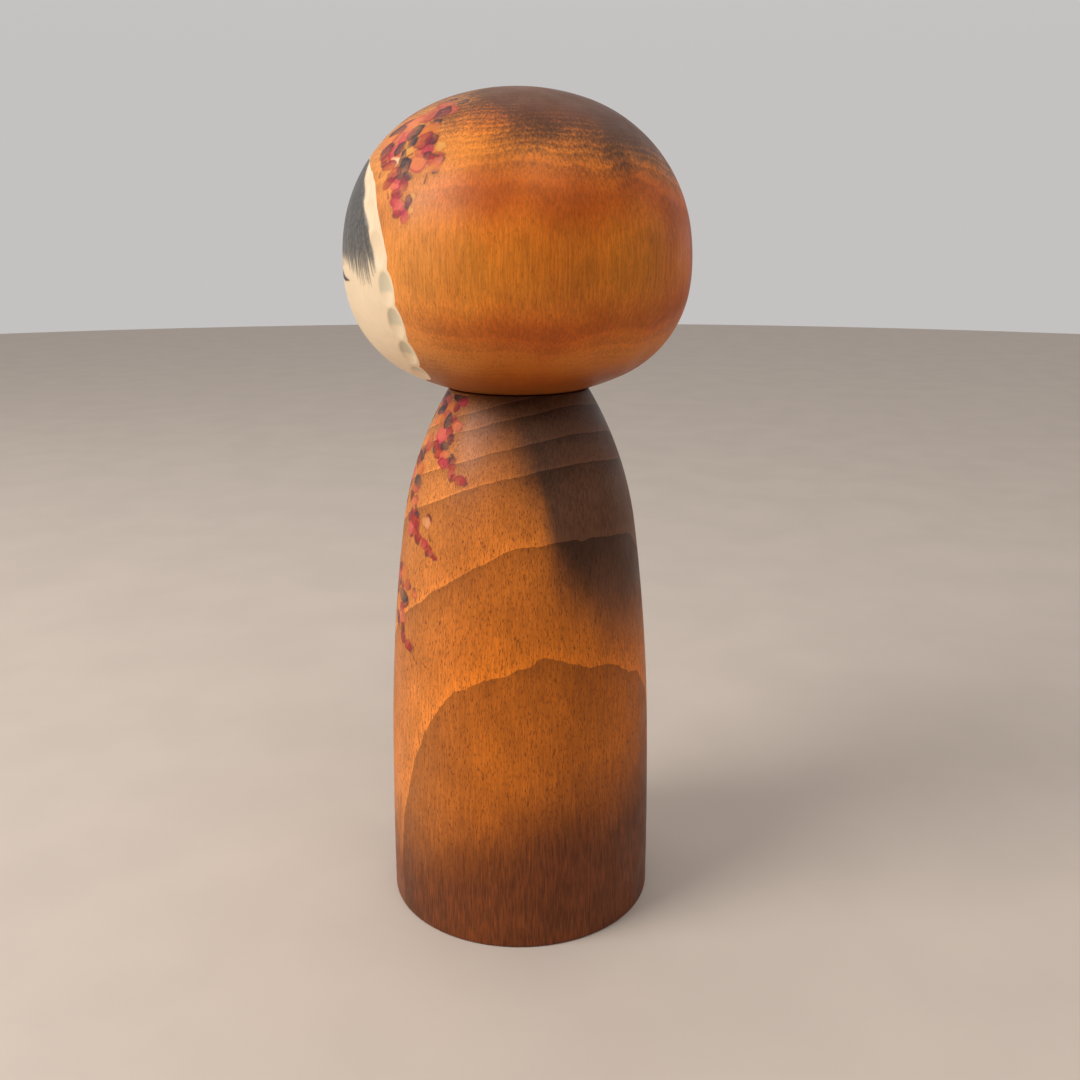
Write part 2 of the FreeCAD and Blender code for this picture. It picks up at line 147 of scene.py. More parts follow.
def head_outline():
    """Underside, jaw and lower side up to the equator, then upper side, temple and crown."""
    under_radius, jaw_radius, low_radius = 89.0, 38.0, 56.0
    high_radius, temple_radius, crown_radius = 81.0, 52.6, 74.8
    seat = (23.7, HEAD_LOW.z)
    equator = (59.9, 238.0)
    top = (0.0, HEAD_HIGH.z)
    under = (0.0, seat[1] + math.sqrt(under_radius**2 - seat[0] ** 2))
    low, high = ((equator[0] - radius, equator[1]) for radius in (low_radius, high_radius))
    crown = (0.0, top[1] - crown_radius)
    jaw = crossing(under, under_radius - jaw_radius, low, low_radius - jaw_radius)
    temple = crossing(crown, crown_radius - temple_radius, high, high_radius - temple_radius)
    jaw_low, jaw_top = beyond(under, under_radius, jaw), beyond(low, low_radius, jaw)
    temple_low, temple_top = beyond(high, high_radius, temple), beyond(crown, crown_radius, temple)
    return Outline([
        (under, under_radius, seat, jaw_low),
        (jaw, jaw_radius, jaw_low, jaw_top),
        (low, low_radius, jaw_top, equator),
        (high, high_radius, equator, temple_low),
        (temple, temple_radius, temple_low, temple_top),
        (crown, crown_radius, temple_top, top),
    ])


class Scoop:
    """One gouge cut at the edge of the face: a shallow spindle swept off the head's surface."""

    DEPTH, SWEEP, LENGTHWAYS = 0.9, 6.3, 27.5
    HALF_WIDTH, HALF_LENGTH = 3.15, 5.6
    OUT_OF_REACH = 9.0

    def __init__(self, outline, azimuth, height, lean):
        self.height = height
        point, normal, _ = outline.place(np.array(azimuth), outline.at_height(height))
        around = math.radians(azimuth)
        left = np.array([math.cos(around), math.sin(around), 0.0])
        down = np.cross(left, normal)
        turned = math.radians(lean)
        self.along = down * math.cos(turned) + left * math.sin(turned) * math.copysign(1, azimuth)
        self.across = np.cross(normal, self.along)
        self.middle = point
        self.axis_point = point + normal * (self.SWEEP - self.DEPTH)

    def depth(self, point, normal):
        """How deep the gouge goes below each point, along its normal."""
        offset = point - self.axis_point
        along = offset @ self.along
        reach = self.SWEEP - self.LENGTHWAYS + np.sqrt(np.maximum(self.LENGTHWAYS**2 - along**2, 0))
        offset = offset - along[..., None] * self.along
        slope = normal - (normal @ self.along)[..., None] * self.along
        a = (slope**2).sum(-1)
        b = (offset * slope).sum(-1)
        c = (offset**2).sum(-1) - np.maximum(reach, 0) ** 2
        return np.where(c < 0, (b + np.sqrt(np.maximum(b * b - a * c, 0))) / a, 0)

    def local(self, point):
        """Along and across the cut, each as a share of its half size."""
        offset = point - self.middle
        far = np.linalg.norm(offset, axis=-1) > 2 * self.HALF_LENGTH
        along = np.where(far, self.OUT_OF_REACH, offset @ self.along / self.HALF_LENGTH)
        return along, offset @ self.across / self.HALF_WIDTH


# The gouge cuts of the doll's left side, top to bottom: azimuth, height, and lean of the lower end.
# They were worked out from the hairline that a helper script projected from the photograph.
SCOOPS = [
    (42.0, 262.0, 40.0),
    (48.8, 253.8, 26.0),
    (54.3, 243.2, 17.0),
    (57.3, 231.4, 6.0),
    (58.2, 220.8, -3.0),
    (56.6, 211.0, -17.0),
    (50.4, 203.6, -42.0),
]
BODY = body_outline()
HEAD = head_outline()
HEAD.cuts = [
    Scoop(HEAD, side * azimuth, height, lean)
    for side in (1, -1) for azimuth, height, lean in SCOOPS
]

# The bare face panel's edge on the doll's left, top to bottom: azimuth and height. The cuts swell it into
# scallops. Most points were read off the photograph and projected by a helper script, then moved by hand.
PANEL_EDGE = [
    (0.0, 275.0), (13.0, 274.2), (28.0, 271.2), (38.0, 267.4), (42.5, 265.2), (46.6, 262.8), (49.4, 259.4),
    (52.0, 255.0), (54.5, 250.8), (56.6, 246.0), (58.3, 241.0), (58.1, 237.2), (57.3, 231.4), (60.1, 225.5),
    (58.2, 220.8), (60.5, 216.4), (56.6, 211.0), (55.4, 206.7), (50.4, 203.6), (44.0, 201.0), (30.0, 199.2),
    (0.0, 198.6),
]
PANEL_SPARE = 0.8
WELL_OUTSIDE_PANEL = -9.0
# Cuts lower than this get grey-green painted shade in their upper part.
CUT_SHADE_BELOW = 235.0


def panel_distance(azimuth, run, point):
    """Millimetres inside the bare panel's edge, negative on the stained wood."""
    corners = PANEL_EDGE + [(-a, z) for a, z in reversed(PANEL_EDGE)]
    width = np.radians(1.0) * HEAD.radius(run)
    x, y = azimuth * width, run
    nearest = np.full(x.shape, 1e9)
    inside = np.zeros(x.shape, bool)
    for (a0, z0), (a1, z1) in zip(corners, corners[1:] + corners[:1]):
        y0, y1 = HEAD.at_height(z0), HEAD.at_height(z1)
        x0, x1 = a0 * width, a1 * width
        length = (x1 - x0) ** 2 + (y1 - y0) ** 2 + 1e-9
        share = np.clip(((x - x0) * (x1 - x0) + (y - y0) * (y1 - y0)) / length, 0, 1)
        nearest = np.minimum(nearest, np.hypot(x - x0 - share * (x1 - x0), y - y0 - share * (y1 - y0)))
        if y0 != y1:
            crossed = (y0 > y) != (y1 > y)
            inside ^= crossed & (x < x0 + (y - y0) / (y1 - y0) * (x1 - x0))
    distance = np.where(inside, nearest, -nearest)
    for scoop in HEAD.cuts:
        along, across = scoop.local(point)
        distance = np.maximum(distance, (1 - np.hypot(along, across)) * scoop.HALF_WIDTH)
    return distance + PANEL_SPARE


# ---------------------------------------------------------------- meshes


def new_piece(name, vertices, faces, material, body, attributes=()):
    """A mesh piece, smooth but for its sharp edges, riding on a CAD body."""
    mesh = bpy.data.meshes.new(name)
    mesh.from_pydata((np.asarray(vertices) * MM).tolist(), [], [list(map(int, f)) for f in faces])
    for label, kind, values in attributes:
        layer = mesh.attributes.new(label, kind, "POINT")
        key = "color" if kind == "FLOAT_COLOR" else "value"
        layer.data.foreach_set(key, np.asarray(values, dtype=np.float32).ravel())
    mesh.shade_smooth()
    mesh.set_sharp_from_angle(angle=SHARP_EDGE)
    mesh.materials.append(material)
    piece = bpy.data.objects.new(name, mesh)
    bpy.context.scene.collection.objects.link(piece)
    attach(piece, body)
    return piece


def ring_faces(rings, columns):
    """Quads that join each closed ring of vertices to the next."""
    corner = np.arange(rings - 1)[:, None] * columns + np.arange(columns)[None, :]
    after = np.arange(rings - 1)[:, None] * columns + (np.arange(columns) + 1)[None, :] % columns
    return np.stack([corner, after, after + columns, corner + columns], axis=-1).reshape(-1, 4)


def close_ends(vertices, faces, columns, first, last):
    """Fans that close a stack of rings with a point on the axis at both ends."""
    vertices = list(vertices) + [first, last]
    low, high = len(vertices) - 2, len(vertices) - 1
    start = len(vertices) - 2 - columns
    turn = np.arange(columns)
    after = (turn + 1) % columns
    fans = [(low, b, a) for a, b in zip(turn, after)]
    fans += [(high, start + a, start + b) for a, b in zip(turn, after)]
    return vertices, [tuple(f) for f in faces] + fans


def plain_ring(azimuths, radius, height):
    around = np.radians(azimuths)
    east, north = radius * np.sin(around), -radius * np.cos(around)
    return np.stack([east, north, np.full(around.shape, height)], axis=-1)


def spaced(stops):
    """Values through a list of (value, step up to the next value)."""
    parts = []
    for (low, step), (high, _) in zip(stops, stops[1:]):
        parts.append(np.linspace(low, high, max(1, round((high - low) / step)), endpoint=False))
    return np.concatenate(parts)


def make_head(material):
    """The head with its gouge cuts, flat seat and peg socket. Rows and columns crowd at the cuts."""
    azimuths = spaced([(-180, 1.7), (-68, 0.45), (-36, 1.6), (36, 0.45), (68, 1.7), (180, 1)])
    cut_low, cut_high, top = (float(HEAD.at_height(z)) for z in (198.5, 270.0, HEAD_HIGH.z))
    last = top - 0.8
    runs = np.append(spaced([(0.0, 0.8), (cut_low, 0.5), (cut_high, 1.3), (last, 1)]), last)
    across, up = np.meshgrid(azimuths, runs)
    outer, _, _ = HEAD.place(across, up)
    panel = panel_distance(across, up, outer)
    # Painted shade in the upper part of the lower gouge cuts, kept as a mesh attribute.
    shade_in_cut = painted_scoop_shade(outer)
    socket_top = PEG_HIGH.z + SOCKET_SPARE
    socket = [
        plain_ring(azimuths, SOCKET_RADIUS, socket_top),
        plain_ring(azimuths, SOCKET_RADIUS, HEAD_LOW.z + SOCKET_CHAMFER),
        plain_ring(azimuths, SOCKET_RADIUS + SOCKET_CHAMFER, HEAD_LOW.z),
    ]
    rings = np.concatenate([np.stack(socket), outer])
    columns = len(azimuths)
    vertices, faces = close_ends(
        rings.reshape(-1, 3), ring_faces(len(rings), columns), columns,
        (0.0, 0.0, socket_top), (0.0, 0.0, HEAD_HIGH.z),
    )
    hidden = np.full((len(socket), columns), WELL_OUTSIDE_PANEL)
    panel = np.append(np.concatenate([hidden, panel]).ravel(), [WELL_OUTSIDE_PANEL] * 2)
    shade_in_cut = np.append(np.concatenate([np.zeros_like(hidden), shade_in_cut]).ravel(), [0.0, 0.0])
    piece = new_piece("turned_head", vertices, faces, material, "head",
                      [("panel_mm", "FLOAT", panel), ("shade_in_cut", "FLOAT", shade_in_cut)])
    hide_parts("head")


def painted_scoop_shade(point):
    """Where the grey-green painted shade lies, 0 to 1: the upper, downward-facing part of each of the lower
    cuts.
    """
    amount = np.zeros(point.shape[:-1])
    for scoop in (cut for cut in HEAD.cuts if cut.height < CUT_SHADE_BELOW):
        along, across = scoop.local(point)
        inside = np.clip((1 - np.hypot(along, across)) / 0.12, 0, 1)
        amount = np.maximum(amount, inside * np.clip((0.25 - along) / 0.2, 0, 1))
    return amount


def make_body(material):
    """The body with its flat top, peg socket, dished underside and lathe claw marks."""
    azimuths = spaced([(0, 1.25), (360, 1)])
    top_rounding, foot_rounding, dish_radius, dish_depth = 0.5, 0.8, 40.0, 1.0
    low = float(BODY.at_height(foot_rounding))
    high = float(BODY.at_height(BODY_HIGH.z - top_rounding / 2))
    runs = np.append(spaced([(low, 1.4), (high, 1)]), high)
    across, up = np.meshgrid(azimuths, runs)
    outer, _, _ = BODY.place(across, up)
    foot, neck = BODY.radius(low), BODY.radius(high)
    rows = [(dish_radius - dish_depth, dish_depth), (dish_radius, 0.0)]
    rows += [(foot - foot_rounding * (1 - math.sin(a)), foot_rounding * (1 - math.cos(a)))
             for a in np.radians([0, 30, 60])]
    below = [plain_ring(azimuths, radius, height) for radius, height in rows]
    socket_end = PEG_LOW.z - SOCKET_SPARE
    rows = [(neck - 0.12, BODY_HIGH.z - 0.07), (neck - 0.4, BODY_HIGH.z),
            (SOCKET_RADIUS + SOCKET_CHAMFER, BODY_HIGH.z),
            (SOCKET_RADIUS, BODY_HIGH.z - SOCKET_CHAMFER), (SOCKET_RADIUS, socket_end)]
    above = [plain_ring(azimuths, radius, height) for radius, height in rows]
    rings = np.concatenate([np.stack(below), outer, np.stack(above)])
    columns = len(azimuths)
    vertices, faces = close_ends(
        rings.reshape(-1, 3), ring_faces(len(rings), columns), columns,
        (0.0, 0.0, dish_depth), (0.0, 0.0, socket_end),
    )
    piece = new_piece("turned_body", vertices, faces, material, "body")
    cut_claw_marks(piece, dish_depth)
    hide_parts("body")


def cut_claw_marks(piece, dish_depth):
    """Four radial slots under the base, left by the claws that drove the block."""
    reach, long, wide, deep, marks = 17.0, 9.0, 1.6, 3.0, 4
    vertices, faces = [], []
    for index in range(marks):
        turn = math.tau * index / marks
        for x in (reach - long / 2, reach + long / 2):
            for y in (-wide / 2, wide / 2):
                for z in (dish_depth - 1, dish_depth + deep):
                    vertices.append((x * math.cos(turn) - y * math.sin(turn),
                                     x * math.sin(turn) + y * math.cos(turn), z))
        faces += [[8 * index + corner for corner in side] for side in
                  ((0, 1, 3, 2), (4, 6, 7, 5), (0, 4, 5, 1), (2, 3, 7, 6), (0, 2, 6, 4), (1, 5, 7, 3))]
    mesh = bpy.data.meshes.new("claws")
    mesh.from_pydata([tuple(c * MM for c in v) for v in vertices], [], faces)
    cutter = bpy.data.objects.new("claws", mesh)
    bpy.context.scene.collection.objects.link(cutter)
    cut = piece.modifiers.new("claw marks", "BOOLEAN")
    cut.object = cutter
    cut.operation = "DIFFERENCE"
    cut.solver = "EXACT"
    bpy.context.view_layer.update()
    done = bpy.data.meshes.new_from_object(piece.evaluated_get(bpy.context.evaluated_depsgraph_get()))
    piece.modifiers.clear()
    piece.data = done
    done.set_sharp_from_angle(angle=SHARP_EDGE)
    bpy.data.objects.remove(cutter)


# ---------------------------------------------------------------- paint


def srgb(red, green, blue):
    """A colour given as it looks, 0 to 255 a channel, as the linear triple that shaders use."""
    def linear(channel):
        share = channel / 255
        return share / 12.92 if share <= 0.04045 else ((share + 0.055) / 1.055) ** 2.4
    return linear(red), linear(green), linear(blue)


INKS = {
    "rose": srgb(190, 84, 62),
    "salmon": srgb(220, 112, 70),
    "amber": srgb(214, 116, 40),
    "crimson": srgb(156, 24, 42),
    "magenta": srgb(190, 36, 70),
    "pink": srgb(222, 88, 88),
    "plum": srgb(102, 24, 46),
    "slate": srgb(56, 50, 60),
    "black": srgb(36, 20, 24),
    "red": srgb(172, 18, 34),
    "cream": srgb(246, 204, 160),
    "yellow": srgb(222, 160, 74),
    "brown": srgb(104, 48, 20),
    "peach": srgb(230, 160, 108),
    "charcoal": srgb(80, 79, 79),
    "ink": srgb(46, 40, 40),
    "lips": srgb(186, 40, 36),
}
# The ink that each ink's rim dries to.
DRIED = {
    "plum": "black", "slate": "black", "crimson": "plum", "magenta": "crimson", "red": "plum",
    "rose": "crimson", "salmon": "crimson", "pink": "magenta", "amber": "rose", "cream": "amber",
    "peach": "amber", "yellow": "amber",
}


class Canvas:
    """Paint on part of a turned face, laid stroke by stroke over a fine grid of its points."""

    def __init__(self, outline, azimuths, heights, pitch):
        self.outline = outline
        runs = outline.at_height(np.array(heights, float))
        self.runs = np.arange(runs[0], runs[1], pitch)
        step = math.degrees(pitch / outline.radius(self.runs.mean()))
        self.azimuths = np.arange(azimuths[0], azimuths[1], step)
        self.azimuth, self.run = np.meshgrid(self.azimuths, self.runs)
        self.radius = outline.radius(self.run)
        self.colour = np.zeros(self.run.shape + (3,))
        self.cover = np.zeros(self.run.shape)

    def lengths_from(self, azimuth, height):
        """East and up, in millimetres, from a place to every point of the grid."""
        east = np.radians(self.azimuth - azimuth) * self.radius
        return east, self.run - self.outline.at_height(height)

    def lay(self, ink, amount):
        colour = np.array(INKS[ink])
        self.colour = self.colour * (1 - amount[..., None]) + colour * amount[..., None]
        self.cover = self.cover * (1 - amount) + amount

    def petal(self, rng, azimuth, height, width, length, tilt, ink, body=0.88, rim=0.62):
        """A wet, uneven round of colour that dries darker at its rim and towards one side."""
        east, up = self.lengths_from(azimuth, height)
        turn = math.radians(tilt)
        u = (east * math.cos(turn) + up * math.sin(turn)) / (width / 2)
        v = (up * math.cos(turn) - east * math.sin(turn)) / (length / 2)
        angle = np.arctan2(v, u)
        wobble = sum(rng.uniform(0, 0.10) * np.cos(lobes * angle + rng.uniform(0, math.tau))
                     for lobes in (2, 3, 5))
        reach = np.hypot(u, v) / (1 + wobble)
        soft = 0.32 / min(width, length)
        edge = np.clip((1 + soft - reach) / (2 * soft), 0, 1)
        heavy = rng.uniform(0, math.tau)
        drift = 0.82 + 0.3 * (u * math.cos(heavy) + v * math.sin(heavy))
        dried = np.exp(-(((reach - 0.88) / 0.14) ** 2))
        self.lay(ink, np.clip(edge * body * drift, 0, 1))
        heavier = 0.75 + 0.5 * (u * math.cos(heavy) + v * math.sin(heavy))
        self.lay(DRIED.get(ink, ink), np.clip(edge * rim * dried * heavier, 0, 1))

    def stroke(self, places, widths, ink, strength=0.9, soft=0.14):
        """One pull of a pointed brush through places, with a width at each."""
        best = np.full(self.run.shape, -1e9)
        for (a0, z0), (a1, z1), w0, w1 in zip(places, places[1:], widths, widths[1:]):
            east, up = self.lengths_from(a0, z0)
            dx = math.radians(a1 - a0) * self.radius
            dy = self.outline.at_height(z1) - self.outline.at_height(z0)
            share = np.clip((east * dx + up * dy) / (dx * dx + dy * dy + 1e-9), 0, 1)
            away = np.hypot(east - share * dx, up - share * dy)
            best = np.maximum(best, (w0 + (w1 - w0) * share) / 2 - away)
        self.lay(ink, np.clip((best + soft) / (2 * soft), 0, 1) * strength)

    def piece(self, name, material, body, slot, lift=0.03, faintest=0.02, extra=()):
        """The paint film: the grid's faces that carry any colour, just proud of the wood."""
        point, _, _ = self.outline.place(self.azimuth, self.run, lift)
        rows, columns = self.run.shape
        corner = (np.arange(rows - 1)[:, None] * columns + np.arange(columns - 1)[None, :]).reshape(-1)
        faces = np.stack([corner, corner + 1, corner + columns + 1, corner + columns], axis=-1)
        seen = self.cover.ravel()[faces].max(axis=1) > faintest
        faces = faces[seen]
        used, faces = np.unique(faces, return_inverse=True)
        faces = faces.reshape(-1, 4)
        colour = self.colour / np.maximum(self.cover, 1e-4)[..., None]
        colour = np.dstack([colour, np.ones(self.cover.shape)]).reshape(-1, 4)[used]
        attributes = [("paint", "FLOAT_COLOR", colour), ("cover", "FLOAT", self.cover.ravel()[used])]
        for label, values in extra:
            attributes.append((label, "FLOAT", values(self).ravel()[used]))
        new_piece(name, point.reshape(-1, 3)[used], faces, material, body, attributes)


# Blossom sprays: azimuth, height, width, length, tilt and ink of each touch of the brush. Most rows were
# read off the photograph petal by petal and projected on to the doll by a helper script, which report.md
# names as a fault: they should be a rule, like guessed_spray below.
HEAD_SPRAY = [
    (59, 287.0, 7, 4, 0, "rose"), (68, 284.5, 4, 5, 20, "rose"), (40, 277.0, 9, 8, 10, "amber"),
    (56, 283.5, 7, 7, 0, "rose"), (64, 283.8, 5, 7, -10, "plum"), (49, 281.5, 8, 6, 15, "salmon"),
    (64, 278.5, 6, 6, 0, "amber"), (52, 277.2, 5, 6, 0, "pink"), (47, 276.5, 5, 6, 0, "rose"),
    (40, 279.5, 9, 4, 0, "slate"), (66, 268.5, 7, 6, 0, "salmon"), (66, 271.5, 5, 3.5, 0, "rose"),
    (44.5, 272.8, 5.5, 6, 10, "plum"), (51.5, 272.0, 6.5, 5.2, 0, "magenta"),
    (47, 270.5, 4, 3.5, 0, "crimson"), (54.5, 269.5, 5, 2.4, 0, "cream"),
    (58.7, 272.6, 4, 3.2, 0, "yellow"), (52, 268.2, 5.6, 3.4, 0, "crimson"),
    (64, 275.2, 5.6, 6.8, 0, "crimson"), (67.8, 275.4, 4, 4.4, 10, "plum"),
    (68.3, 272.4, 4, 3.4, 0, "magenta"), (69, 270.6, 2.8, 2.8, 0, "plum"),
    (72.4, 270.5, 5, 2.6, 15, "crimson"), (71.6, 269.0, 3, 3.4, -20, "red"),
    (74, 268.7, 3, 3.6, 0, "salmon"), (73, 267.0, 3.4, 2.8, 0, "amber"), (57, 265.8, 5, 3.8, 0, "rose"),
    (61, 264.0, 6.2, 3.2, 0, "plum"), (59, 262.2, 4.4, 3.4, 0, "pink"),
    (55, 262.8, 4.6, 3, 25, "crimson"), (62.6, 262.0, 3.6, 3.4, 0, "crimson"),
    (60.6, 259.5, 4.4, 3, 0, "crimson"), (60.8, 257.2, 4, 3.2, 0, "magenta"),
    (62.5, 255.6, 4.2, 3.4, 0, "pink"), (62.3, 253.7, 3.4, 2.2, 20, "crimson"),
    (65.4, 252.8, 3, 3.8, -15, "magenta"), (67.2, 258.5, 2.2, 2.4, 0, "yellow"),
    (67.6, 254.6, 2, 1.6, 0, "yellow"), (73, 273.3, 3.4, 3, 0, "yellow"),
    (56, 278.2, 5, 6.4, 0, "slate"), (58.4, 275.2, 3.6, 4.4, 15, "slate"),
    (53.2, 273.3, 3.7, 4.8, 0, "slate"), (57.4, 270.8, 2.2, 4.4, 0, "slate"),
    (60.3, 267.2, 4.8, 6.2, 0, "slate"), (66, 257.2, 2.4, 4, 0, "plum"),
]
BODY_SPRAYS = [
    (34.7, 192.0, 6, 4, 0, "rose"), (31.3, 190.4, 6, 3.2, 0, "plum"),
    (43.4, 190.3, 4.5, 4.4, 0, "amber"), (48.6, 194.3, 6.4, 3.4, 0, "black"),
    (55, 192.7, 4.2, 2.8, 0, "magenta"), (50.8, 190.7, 3, 2.9, 0, "crimson"),
    (31.5, 188.6, 5.6, 3.5, 0, "slate"), (36.6, 185.9, 6.6, 4, 0, "amber"),
    (42.2, 188.2, 4.2, 2.6, 0, "rose"), (51.9, 187.1, 2.7, 2.6, 0, "crimson"),
    (57.8, 185.0, 4.3, 3.6, 0, "salmon"), (46, 181.6, 6.8, 4.8, 0, "pink"),
    (47.3, 186.0, 4.1, 5, 0, "slate"), (52.3, 183.0, 3.2, 3.2, 0, "crimson"),
    (55.3, 181.0, 2.9, 2.7, 0, "plum"), (52, 178.2, 3.7, 3.2, 0, "slate"),
    (42.6, 177.9, 4.3, 3, 0, "crimson"), (47.8, 175.6, 3.8, 3.6, 0, "red"),
    (53.5, 175.4, 4.4, 3, 0, "salmon"), (55, 172.8, 5.2, 3.3, 0, "magenta"),
    (61.3, 173.9, 3, 2.6, 0, "plum"), (62.1, 171.8, 2.8, 2.7, 0, "red"),
    (62.4, 170.0, 2.8, 2.7, 0, "rose"), (64.3, 169.0, 2.4, 2, 0, "crimson"),
    (69, 168.2, 4.2, 3.2, 0, "red"), (33.5, 178.0, 4.4, 6, 0, "rose"), (24.9, 171.3, 8, 5.4, 0, "plum"),
    (32.6, 168.4, 7, 4.2, 0, "amber"), (33.5, 164.4, 6.6, 4.2, 0, "slate"),
    (31.6, 161.7, 6.6, 3, 0, "rose"), (28.9, 159.0, 5, 2.8, 0, "brown"),
    (34.5, 157.6, 5.4, 3.2, 0, "salmon"), (37.9, 154.4, 6, 2.2, 0, "crimson"),
    (41.3, 153.8, 3.2, 2.2, 0, "slate"), (32.6, 152.0, 3.9, 3.2, 0, "crimson"),
    (40, 151.4, 6.2, 3.8, 0, "red"), (50.3, 152.4, 4.4, 3.2, 0, "peach"),
    (41.6, 147.6, 3.9, 3.5, 0, "red"), (45, 146.4, 3.4, 3, 0, "crimson"),
    (50.4, 145.0, 3.7, 3.2, 0, "magenta"), (53.7, 143.4, 3.7, 2.9, 0, "crimson"),
    (56, 142.4, 2.8, 2.3, 0, "rose"), (58.4, 141.3, 2.9, 1.5, 0, "crimson"),
    (36, 148.2, 4.6, 4, 0, "pink"), (27.7, 132.7, 5.6, 3.4, 0, "plum"),
    (31.7, 131.2, 6.6, 4.6, 0, "amber"), (31.3, 126.8, 4, 2, 0, "crimson"),
    (33.2, 123.2, 8.4, 4.2, 0, "slate"), (32.6, 118.6, 4.4, 3.2, 0, "red"),
    (33.4, 115.4, 7.4, 5, 0, "salmon"), (26.5, 113.7, 5, 4, 0, "plum"),
    (35.5, 111.6, 4, 3.2, 0, "brown"), (36.5, 108.4, 4.4, 3.6, 0, "crimson"),
    (42.5, 106.9, 5, 3.6, 0, "red"), (38, 128, 4, 3.6, 0, "rose"), (45.6, 126.3, 3, 2.6, 0, "salmon"),
]
# Thin leaves and stalks: places along one pull of the brush, and its widest.
HEAD_TICKS = [
    ([(63.4, 280.2), (64.8, 281.6)], 1.0), ([(71, 265.2), (71, 262.4)], 0.8),
    ([(48.3, 266.3), (48.8, 264.9)], 0.8), ([(56.2, 260.0), (57.2, 258.4)], 0.7),
    ([(69, 271.2), (73.4, 270.2)], 1.0), ([(57.6, 269.6), (61.6, 271.4)], 0.9),
    ([(63.2, 258.0), (65.0, 256.8)], 0.5),
]
BODY_TICKS = [
    ([(53.2, 148.6), (55, 146.6)], 0.7), ([(46.4, 104.6), (48.2, 103.2)], 0.7),
    ([(48.6, 103.0), (50.2, 102.0)], 0.6), ([(54.6, 103.0), (56.6, 102.0)], 0.6),
    ([(45, 110.0), (47.5, 105.8)], 0.6), ([(60, 176.0), (63.5, 174.8)], 0.6),
]
# The unseen front is a guess: sprays like the seen ones, each along a falling spine.
HEAD_GUESSES = [
    [(-64, 286.0), (-58, 280.0), (-52, 272.0), (-57, 264.0), (-63, 254.0)],
    [(24, 284.0), (6, 286.0), (-16, 284.0), (-38, 281.0)],
]
BODY_GUESSES = [
    [(22, 193.0), (10, 186.0), (2, 176.0), (-2, 166.0)],
    [(-24, 192.0), (-34, 182.0), (-42, 172.0), (-47, 160.0), (-49, 150.0)],
    [(14, 168.0), (8, 158.0), (2, 148.0), (-8, 138.0), (-14, 128.0)],
    [(18, 132.0), (14, 122.0), (12, 112.0), (16, 100.0)],
    [(-28, 142.0), (-34, 130.0), (-36, 118.0), (-40, 108.0)],
]
TOUCH_SPREAD = 1.16
SPRAY_INKS = ["rose", "salmon", "plum", "slate", "crimson", "magenta", "amber", "pink"]
TIP_INKS = ["red", "crimson", "magenta"]
TOUCHES_A_SPAN = 9


def shadow_under(canvas, rng, touches):
    """Dark gaps between blossoms: smaller, near-black touches laid first, off to one side."""
    for azimuth, height, width, length, tilt, ink in touches:
        if ink not in ("cream", "yellow") and rng.random() < 0.55:
            aside = rng.uniform(-0.5, 0.5) * width
            canvas.petal(rng, azimuth + aside, height + rng.uniform(-0.6, 0.6) * length,
                         width * 0.75, length * 0.8, rng.uniform(-60, 60),
                         rng.choice(["slate", "plum"]), body=0.8)


def guessed_spray(rng, spine):
    """Touches scattered along a spine, large and mixed at its head, small and red at its tip."""
    touches = []
    for (a0, z0), (a1, z1) in zip(spine, spine[1:]):
        for step in range(TOUCHES_A_SPAN):
            share = step / TOUCHES_A_SPAN
            done = (z0 + (z1 - z0) * share - spine[0][1]) / (spine[-1][1] - spine[0][1] + 1e-6)
            done = min(max(done, 0), 1)
            spread = 7.5 * (1 - done) + 2.0
            inks = TIP_INKS if done > 0.7 else SPRAY_INKS
            width = rng.uniform(4.4, 7.4) * (1 - 0.45 * done)
            touches.append((a0 + (a1 - a0) * share + rng.uniform(-1, 1) * spread,
                            z0 + (z1 - z0) * share + rng.uniform(-2.5, 2.5),
                            width, width * rng.uniform(0.65, 1.0), rng.uniform(-40, 40), rng.choice(inks)))
    return touches


def paint_blossoms(canvas, rng, touches, ticks, guesses):
    for spine in guesses:
        guessed = guessed_spray(rng, spine)
        shadow_under(canvas, rng, guessed)
        for touch in guessed:
            canvas.petal(rng, *touch)
    shadow_under(canvas, rng, touches)
    for azimuth, height, width, length, tilt, ink in touches:
        canvas.petal(rng, azimuth, height, width * TOUCH_SPREAD, length * TOUCH_SPREAD,
                     tilt + rng.uniform(-15, 15), ink)
    for places, width in ticks:
        canvas.stroke(places, [width * 0.5, width], "brown", strength=0.75)


def paint_fringe(canvas, rng):
    """Grey brush-drawn hair, combed from the top of the panel to both temples. The points of its left edge
    and some of its tips were projected from the photograph by a helper script."""
    edge = [(31.0, 270.0), (41.4, 258.9), (48.8, 249.1), (51.3, 243.1)]
    tips = [(0.0, 239.0), (31.0, 239.6), (36.0, 237.2), (43.5, 233.4), (48.6, 232.8), (52.3, 239.0)]
    strands = 210
    for index in range(strands):
        share = -1 + 2 * (index + rng.uniform(0.2, 0.8)) / strands
        side, far = (1 if share > 0 else -1), abs(share)
        lift = 3.4 * (1 - far**2)
        places = [(side * far * a, z + lift * (1 - row / 3)) for row, (a, z) in enumerate(edge)]
        end = far * 51.8
        tip = float(np.interp(end, *zip(*tips))) + rng.uniform(-1.3, 1.0)
        places[-1] = (side * far * 51.4, max(places[-1][1], tip + 2.5))
        places.append((side * (end + far * rng.uniform(0.6, 3.2)), tip))
        width = rng.uniform(1.1, 2.0)
        canvas.stroke(places, [width, width, width, width * 0.85, 0.1], "charcoal",
                      strength=rng.uniform(0.55, 0.85), soft=0.25)


